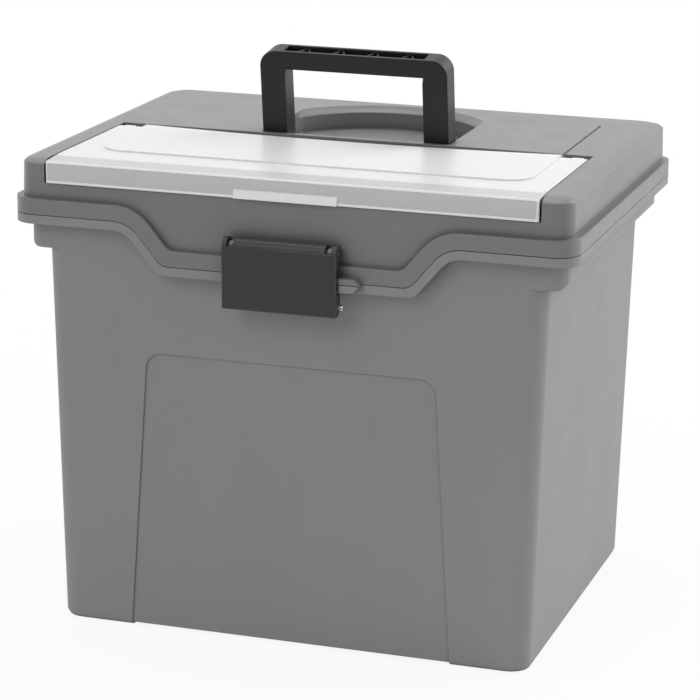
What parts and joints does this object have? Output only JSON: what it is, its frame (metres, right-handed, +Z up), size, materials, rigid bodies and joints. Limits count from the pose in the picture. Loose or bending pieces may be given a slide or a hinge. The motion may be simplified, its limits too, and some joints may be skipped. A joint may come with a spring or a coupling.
{
  "type": "portable file box",
  "caption": "Portable box for hanging folders: tapered tub, deep hinged lid with a supplies tray under a clear flap, folding carrying handle and front latch.",
  "frame": {"origin": "on the floor under the middle of the box, at the middle of its overall width and depth", "axes": "+X along the width, to the right seen from the front; -Y is the front with the latch; +Z up"},
  "size_m": [0.35, 0.281, 0.3471],
  "materials": {
    "tub_plastic": "fine grained, satin",
    "lid_plastic": "fine grained, satin",
    "clear_plastic": "glossy, milky see-through",
    "handle_plastic": "satin black",
    "latch_plastic": "satin charcoal",
    "pin_steel": "drawn wire"
  },
  "bodies": {
    "tub": {"tub": "tub_plastic", "hinge_pin_left": "pin_steel", "hinge_pin_right": "pin_steel"},
    "lid": {"lid": "lid_plastic", "handle_pin_left": "pin_steel", "handle_pin_right": "pin_steel"},
    "organizer_cover": {"organizer_cover": "clear_plastic"},
    "handle": {"handle": "handle_plastic"},
    "latch": {"latch": "latch_plastic", "latch_pin": "pin_steel", "catch_rod": "pin_steel"}
  },
  "joints": [
    {"name": "lid_hinge", "type": "hinge", "parent": "tub", "child": "lid", "pos_m": [0, 0.1365, 0.2588], "axis": [-1, 0, 0], "range_deg": [0, 105]},
    {"name": "cover_hinge", "type": "hinge", "parent": "lid", "child": "organizer_cover", "pos_m": [0, -0.0107, 0.2897], "axis": [-1, 0, 0], "range_deg": [0, 80]},
    {"name": "handle_fold", "type": "hinge", "parent": "lid", "child": "handle", "pos_m": [0, 0.01036, 0.28665], "axis": [-1, 0, 0], "range_deg": [0, 98]},
    {"name": "latch_flip", "type": "hinge", "parent": "lid", "child": "latch", "pos_m": [0, -0.1353, 0.2517], "axis": [-1, 0, 0], "range_deg": [0, 85]}
  ]
}
